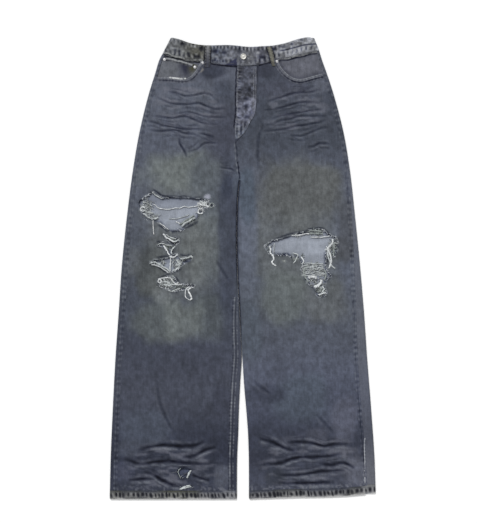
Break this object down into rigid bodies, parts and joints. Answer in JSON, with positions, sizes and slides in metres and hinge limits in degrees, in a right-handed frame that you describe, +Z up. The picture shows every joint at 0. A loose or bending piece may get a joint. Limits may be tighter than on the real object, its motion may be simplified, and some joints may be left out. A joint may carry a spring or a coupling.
{
  "type": "ripped jeans",
  "caption": "Wide-leg jeans lying flat on their back, with frayed rips at thigh and knee, a button waistband, belt loops, scooped pockets and turned hems.",
  "frame": {"origin": "on the surface the jeans lie on, under the middle of their outline", "axes": "+Z up out of the front of the jeans, +Y towards the waist, +X towards the wearer's left leg"},
  "size_m": [0.6378, 1.1067, 0.0099],
  "materials": {
    "denim": "matte washed denim",
    "denim_worn": "matte denim, worn pale on its ridges",
    "denim_inside": "matte inner face of denim",
    "thread": "loose cotton thread",
    "metal": "dull nickel"
  },
  "bodies": {
    "root": {"back_right": "denim_inside", "back_left": "denim_inside", "yoke_right": "denim", "yoke_left": "denim", "back_pocket_right": "denim", "back_pocket_left": "denim", "front_right": "denim", "front_left": "denim", "hem_front_right": "denim_worn", "hem_front_left": "denim_worn", "hem_back_right": "denim_worn", "hem_back_left": "denim_worn", "waistband_front_right": "denim_worn", "waistband_front_left": "denim_worn", "waistband_back": "denim_worn", "pocket_facing_right": "denim", "pocket_facing_left": "denim", "coin_pocket": "denim", "fly_placket": "denim", "loop_front_right": "denim_worn", "loop_front_left": "denim_worn", "loop_back_right": "denim_worn", "loop_back_middle": "denim_worn", "loop_back_left": "denim_worn", "waist_button": "metal", "rivet_coin_side": "metal", "rivet_coin_front": "metal", "rivet_pocket_right": "metal", "rivet_pocket_left": "metal", "fray_thigh": "thread", "fray_shin_upper": "thread", "fray_shin_lower": "thread", "fray_knee": "thread", "fray_hem": "thread"}
  },
  "joints": []
}
